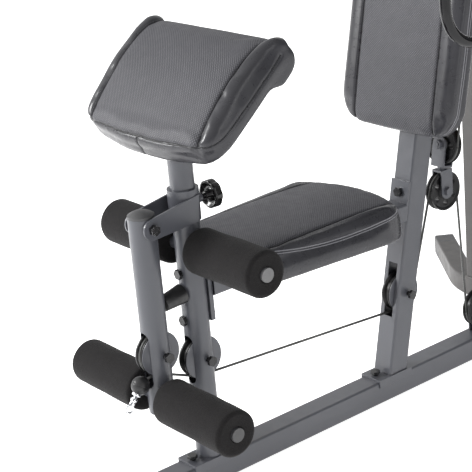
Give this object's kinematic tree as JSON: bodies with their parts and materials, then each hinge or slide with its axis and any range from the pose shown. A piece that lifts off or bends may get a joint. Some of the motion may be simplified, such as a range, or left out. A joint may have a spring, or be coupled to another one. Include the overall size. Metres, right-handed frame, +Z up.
{
  "type": "multi station home gym",
  "caption": "Home gym with leg developer, preacher curl pad, seat and backrest, press and butterfly arms, lat pull-down and a pin-selected weight stack.",
  "frame": {"origin": "on the floor, under the middle of the whole machine's box", "axes": "+Z up, +X to the seated user's left, the user faces -Y"},
  "size_m": [0.9714, 1.535, 2.04],
  "materials": {
    "frame_paint": "satin blue-grey powder coat",
    "rear_paint": "satin warm grey powder coat",
    "arm_paint": "gloss black paint",
    "cap_plastic": "matte grey",
    "pad_leather": "dark grey embossed leatherette",
    "foam": "matte closed-cell foam",
    "pulley_plastic": "black nylon",
    "black_rubber": "matte",
    "cable_coat": "dark PVC coat over steel cable",
    "black_bolt": "black zinc",
    "chrome": "polished",
    "knob_plastic": "glossy black",
    "board": "plywood",
    "plate_iron": "black paint"
  },
  "bodies": {
    "root": {"base_beam": "frame_paint", "front_stabiliser": "frame_paint", "rear_stabiliser": "rear_paint", "end_caps": "cap_plastic", "rear_posts": "rear_paint", "top_cross_tube": "rear_paint", "top_boom": "rear_paint", "guide_rods": "chrome", "main_upright": "frame_paint", "front_post": "frame_paint", "mounting_plates": "frame_paint", "lever_bracket": "frame_paint", "upper_spindle": "frame_paint", "upper_spindle_caps": "cap_plastic", "rubber_stops": "black_rubber", "seat_frame": "frame_paint", "cushion_boards": "board", "seat_pad": "pad_leather", "backrest_pad": "pad_leather", "pivot_bolt": "chrome", "pulley_cheeks": "frame_paint", "frame_bolts": "black_bolt", "low_cable": "cable_coat", "high_cable": "cable_coat", "resting_plates": "plate_iron"},
    "leg_lever": {"leg_lever": "frame_paint", "lower_spindle": "frame_paint", "lower_spindle_caps": "cap_plastic", "lever_fittings": "frame_paint", "low_cable_stop": "black_rubber"},
    "low_snap_hook": {"low_snap_hook": "chrome"},
    "lower_roller_left": {"lower_roller_left": "foam"},
    "lower_roller_right": {"lower_roller_right": "foam"},
    "upper_roller_left": {"upper_roller_left": "foam"},
    "upper_roller_right": {"upper_roller_right": "foam"},
    "lever_pulley": {"lever_pulley": "pulley_plastic"},
    "post_pulley": {"post_pulley": "pulley_plastic"},
    "upright_pulley": {"upright_pulley": "pulley_plastic"},
    "base_pulley": {"base_pulley": "pulley_plastic"},
    "floating_block": {"floating_block": "frame_paint"},
    "block_lower_pulley": {"block_lower_pulley": "pulley_plastic"},
    "block_upper_pulley": {"block_upper_pulley": "pulley_plastic"},
    "rear_top_pulley": {"rear_top_pulley": "pulley_plastic"},
    "side_top_pulley": {"side_top_pulley": "pulley_plastic"},
    "lat_front_pulley": {"lat_front_pulley": "pulley_plastic"},
    "weight_stack": {"top_plate": "plate_iron", "lifted_plates": "plate_iron"},
    "selector_pin": {"selector_pin": "black_bolt"},
    "preacher": {"preacher_post": "frame_paint", "preacher_pad": "pad_leather"},
    "locking_knob": {"locking_knob": "knob_plastic"},
    "press_arm": {"press_arm": "arm_paint"},
    "butterfly_arm_left": {"butterfly_arm_left": "arm_paint", "handle_left": "arm_paint"},
    "butterfly_arm_right": {"butterfly_arm_right": "arm_paint", "handle_right": "arm_paint"},
    "arm_pad_left": {"arm_pad_left": "foam"},
    "arm_pad_right": {"arm_pad_right": "foam"},
    "lat_hook": {"lat_hook": "chrome"},
    "lat_bar": {"lat_bar": "chrome"}
  },
  "joints": [
    {"name": "weight_stack_lift", "type": "slide", "parent": "root", "child": "weight_stack", "axis": [0, 0, 1], "range_m": [0, 0.445], "deforming": ["low_cable", "high_cable"]},
    {"name": "leg_lever_swing", "type": "hinge", "parent": "root", "child": "leg_lever", "pos_m": [0, -0.48949, 0.5416], "axis": [-1, 0, 0], "range_deg": [0, 88.72]},
    {"name": "floating_block_travel", "type": "slide", "parent": "root", "child": "floating_block", "axis": [0, 0, -1], "range_m": [0, 0.2235]},
    {"name": "post_pulley_spin", "type": "hinge", "parent": "root", "child": "post_pulley", "pos_m": [0, -0.39649, 0.257], "axis": [1, 0, 0], "range_deg": [-655, 0]},
    {"name": "upright_pulley_spin", "type": "hinge", "parent": "root", "child": "upright_pulley", "pos_m": [0, 0.12451, 0.22], "axis": [1, 0, 0], "range_deg": [-655, 0]},
    {"name": "rear_top_pulley_spin", "type": "hinge", "parent": "root", "child": "rear_top_pulley", "pos_m": [0, 0.55751, 1.85], "axis": [1, 0, 0], "range_deg": [-655, 0]},
    {"name": "block_lower_pulley_spin", "type": "hinge", "parent": "floating_block", "child": "block_lower_pulley", "pos_m": [0, 0.26351, 0.402], "axis": [1, 0, 0], "range_deg": [0, 328]},
    {"name": "block_upper_pulley_spin", "type": "hinge", "parent": "floating_block", "child": "block_upper_pulley", "pos_m": [0, 0.27051, 0.501], "axis": [0, 0.9847, -0.1745], "range_deg": [-328, 0]},
    {"name": "lever_pulley_spin", "type": "hinge", "parent": "leg_lever", "child": "lever_pulley", "pos_m": [0, -0.49049, 0.2976], "axis": [1, 0, 0], "continuous": true},
    {"name": "base_pulley_spin", "type": "hinge", "parent": "root", "child": "base_pulley", "pos_m": [0, 0.36151, 0.105], "axis": [1, 0, 0], "continuous": true},
    {"name": "side_top_pulley_spin", "type": "hinge", "parent": "root", "child": "side_top_pulley", "pos_m": [0.03656, 0.47848, 1.906], "axis": [0.998, -0.0616, 0.0109], "continuous": true},
    {"name": "lat_front_pulley_spin", "type": "hinge", "parent": "root", "child": "lat_front_pulley", "pos_m": [0.0024, -0.06757, 1.906], "axis": [0.9981, -0.0617, 0], "continuous": true},
    {"name": "lower_roller_left_spin", "type": "hinge", "parent": "leg_lever", "child": "lower_roller_left", "pos_m": [0.135, -0.49849, 0.215], "axis": [1, 0, 0], "continuous": true},
    {"name": "lower_roller_right_spin", "type": "hinge", "parent": "leg_lever", "child": "lower_roller_right", "pos_m": [-0.135, -0.49849, 0.215], "axis": [1, 0, 0], "continuous": true},
    {"name": "upper_roller_left_spin", "type": "hinge", "parent": "root", "child": "upper_roller_left", "pos_m": [0.13, -0.39949, 0.478], "axis": [1, 0, 0], "continuous": true},
    {"name": "upper_roller_right_spin", "type": "hinge", "parent": "root", "child": "upper_roller_right", "pos_m": [-0.13, -0.39949, 0.478], "axis": [1, 0, 0], "continuous": true},
    {"name": "low_snap_hook_swing", "type": "hinge", "parent": "leg_lever", "child": "low_snap_hook", "pos_m": [0, -0.55223, 0.22494], "axis": [1, 0, 0], "range_deg": [-20, 25]},
    {"name": "selector_pin_pull", "type": "slide", "parent": "weight_stack", "child": "selector_pin", "axis": [0, 1, 0], "range_m": [0, 0.06]},
    {"name": "preacher_height", "type": "slide", "parent": "root", "child": "preacher", "axis": [0, 0, 1], "range_m": [0, 0.06]},
    {"name": "locking_knob_turn", "type": "hinge", "parent": "root", "child": "locking_knob", "pos_m": [0, -0.33749, 0.5605], "axis": [0, 1, 0], "continuous": true},
    {"name": "press_arm_swing", "type": "hinge", "parent": "root", "child": "press_arm", "pos_m": [0, 0.36751, 1.65], "axis": [-1, 0, 0], "range_deg": [0, 35]},
    {"name": "butterfly_left_swing", "type": "hinge", "parent": "press_arm", "child": "butterfly_arm_left", "pos_m": [0.13, 0.16251, 1.65], "axis": [0, 0, -1], "range_deg": [-38, 60]},
    {"name": "butterfly_right_swing", "type": "hinge", "parent": "press_arm", "child": "butterfly_arm_right", "pos_m": [-0.13, 0.16251, 1.65], "axis": [0, 0, 1], "range_deg": [0, 98]},
    {"name": "arm_pad_left_spin", "type": "hinge", "parent": "butterfly_arm_left", "child": "arm_pad_left", "pos_m": [0.34, 0.08251, 1.23], "axis": [0, 0, 1], "continuous": true},
    {"name": "arm_pad_right_spin", "type": "hinge", "parent": "butterfly_arm_right", "child": "arm_pad_right", "pos_m": [-0.34473, 0.22876, 1.23], "axis": [0, 0, 1], "continuous": true},
    {"name": "lat_bar_pull", "type": "slide", "parent": "root", "child": "lat_hook", "axis": [0, 0, -1], "range_m": [0, 0.4]},
    {"name": "lat_bar_tilt", "type": "hinge", "parent": "lat_hook", "child": "lat_bar", "pos_m": [0, -0.10649, 1.724], "axis": [0, 1, 0], "range_deg": [-20, 20]}
  ],
  "couplings": [
    {"joint": "leg_lever_swing", "follows": "weight_stack_lift", "rad_per_m": 3.4602},
    {"joint": "floating_block_travel", "follows": "weight_stack_lift", "ratio": 0.5},
    {"joint": "post_pulley_spin", "follows": "weight_stack_lift", "rad_per_m": -25.641},
    {"joint": "upright_pulley_spin", "follows": "weight_stack_lift", "rad_per_m": -25.641},
    {"joint": "rear_top_pulley_spin", "follows": "weight_stack_lift", "rad_per_m": -25.641},
    {"joint": "block_lower_pulley_spin", "follows": "weight_stack_lift", "rad_per_m": 12.821},
    {"joint": "block_upper_pulley_spin", "follows": "weight_stack_lift", "rad_per_m": -12.821}
  ]
}
